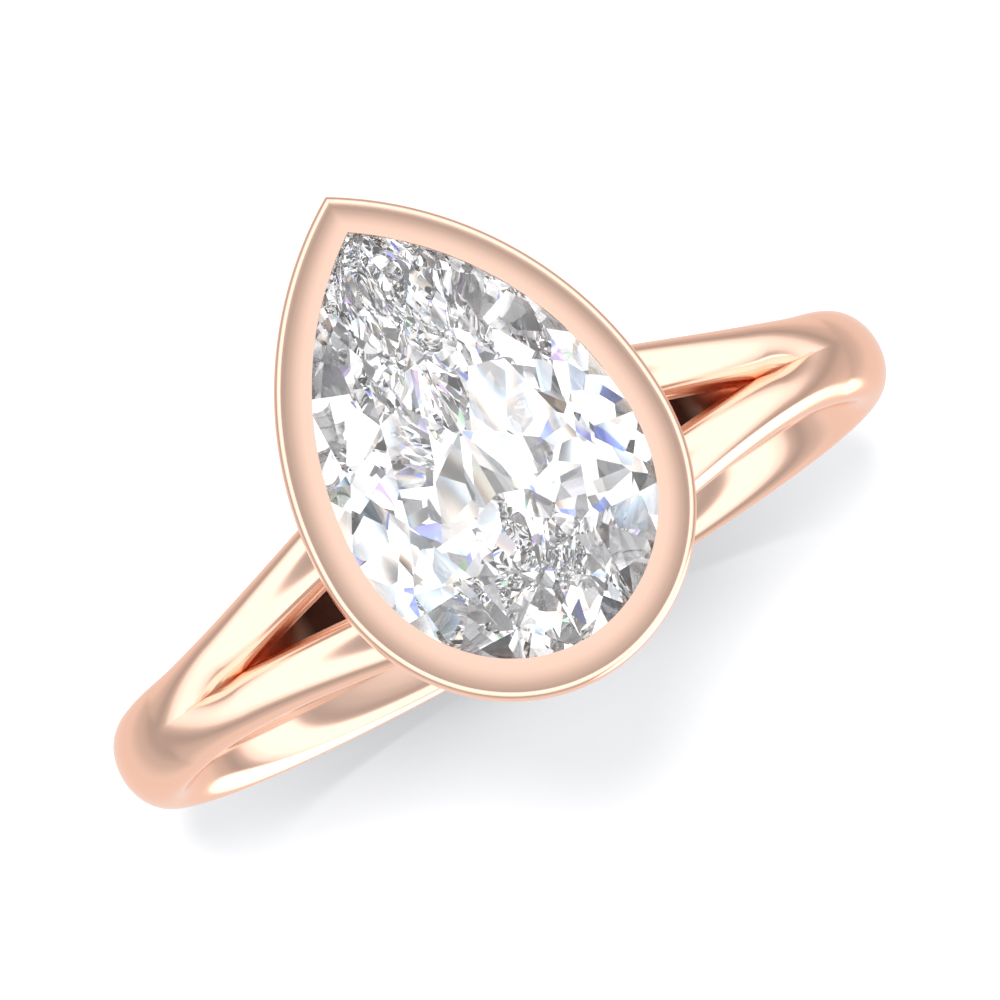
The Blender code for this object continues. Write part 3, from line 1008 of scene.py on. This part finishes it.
def gem_surroundings(tree, direction):
    """Panels and streaks split a little by colour, with a few saturated flashes."""
    spectrum = tree.nodes.new("ShaderNodeCombineColor")
    for channel, amount in (("Red", -1.0), ("Green", 0.0), ("Blue", 1.0)):
        shift = Vector(SPECTRUM_SHIFT) * amount
        link(tree, scattered(tree, direction, shift), spectrum.inputs[channel])
    turned = moved(tree, direction, FLASH_OFFSET)
    hue = colour_steps(tree, noise_at(tree, turned, 1.7, 0.0), FLASH_HUES, "CONSTANT")
    patch = noise_at(tree, turned, 4.3, 1.0)
    where = colour_steps(tree, patch, ((FLASH_EDGE, 0.0), (FLASH_EDGE + 0.01, 1.0)))
    return mixed(tree, "MULTIPLY", where, spectrum.outputs["Color"], hue)


def make_world():
    world = bpy.data.worlds.new("studio")
    bpy.context.scene.world = world
    world.use_nodes = True
    tree = world.node_tree
    back = tree.nodes["Background"]
    direction = tree.nodes.new("ShaderNodeTexCoord").outputs["Generated"]
    height = calculate(tree, "MULTIPLY_ADD", axis_of(tree, direction, "Z"), 0.5, 0.5)
    levels = [((sine + 1) / 2, level) for sine, level in TENT]
    tent = colour_steps(tree, height, levels, "EASE")
    toward = tree.nodes.new("ShaderNodeVectorMath")
    toward.operation = "DOT_PRODUCT"
    toward.inputs[1].default_value = Vector(PANEL_DIRECTION).normalized()
    link(tree, direction, toward.inputs[0])
    panel = rising(tree, toward.outputs["Value"], PANEL_EDGE, PANEL_EDGE + 0.02, PANEL_LEVEL)
    studio = mixed(tree, "LIGHTEN", 1.0, tent, panel)
    leaves_stone = tree.nodes.new("ShaderNodeLightPath").outputs["Is Transmission Ray"]
    seen = mixed(tree, "MIX", leaves_stone, studio, gem_surroundings(tree, direction))
    link(tree, seen, back.inputs["Color"])
    back.inputs["Strength"].default_value = 1.0


def make_key():
    data = bpy.data.lights.new("key", "SUN")
    data.energy = 2.2
    data.angle = math.radians(14)
    data.color = (1.0, 0.99, 0.97)
    lamp = bpy.data.objects.new("key", data)
    lamp.rotation_mode = "QUATERNION"
    lamp.rotation_quaternion = Vector((0.03, -0.11, -1.0)).to_track_quat("-Z", "Y")
    lamp.visible_glossy = False
    lamp.visible_transmission = False
    bpy.context.scene.collection.objects.link(lamp)


make_floor()
make_world()
make_key()


def make_camera():
    tilt, turn, roll = -0.1034, 0.0573, -0.5193
    side, down, depth, focal = 0.0044 * MM, 1.4093 * MM, 532.8 * MM, 22.9106
    flip = Matrix(((1, 0, 0), (0, -1, 0), (0, 0, -1)))
    view = (
        Matrix.Rotation(roll, 3, "Z")
        @ flip
        @ Matrix.Rotation(turn, 3, "Y")
        @ Matrix.Rotation(tilt, 3, "X")
    )
    place = -(view.transposed() @ Vector((side, down, depth)))
    data = bpy.data.cameras.new("camera")
    data.sensor_width = 36.0
    data.lens = 36.0 * focal
    data.clip_start, data.clip_end = 0.01, 5.0
    camera = bpy.data.objects.new("camera", data)
    camera.location = place
    camera.rotation_mode = "QUATERNION"
    camera.rotation_quaternion = (flip @ view).transposed().to_quaternion()
    bpy.context.scene.collection.objects.link(camera)
    bpy.context.scene.camera = camera


make_camera()
bpy.context.scene.view_settings.view_transform = "Standard"
bpy.context.scene.cycles.caustics_reflective = False
bpy.context.scene.cycles.max_bounces = 32
bpy.context.scene.cycles.glossy_bounces = 24
bpy.context.scene.cycles.transmission_bounces = 32
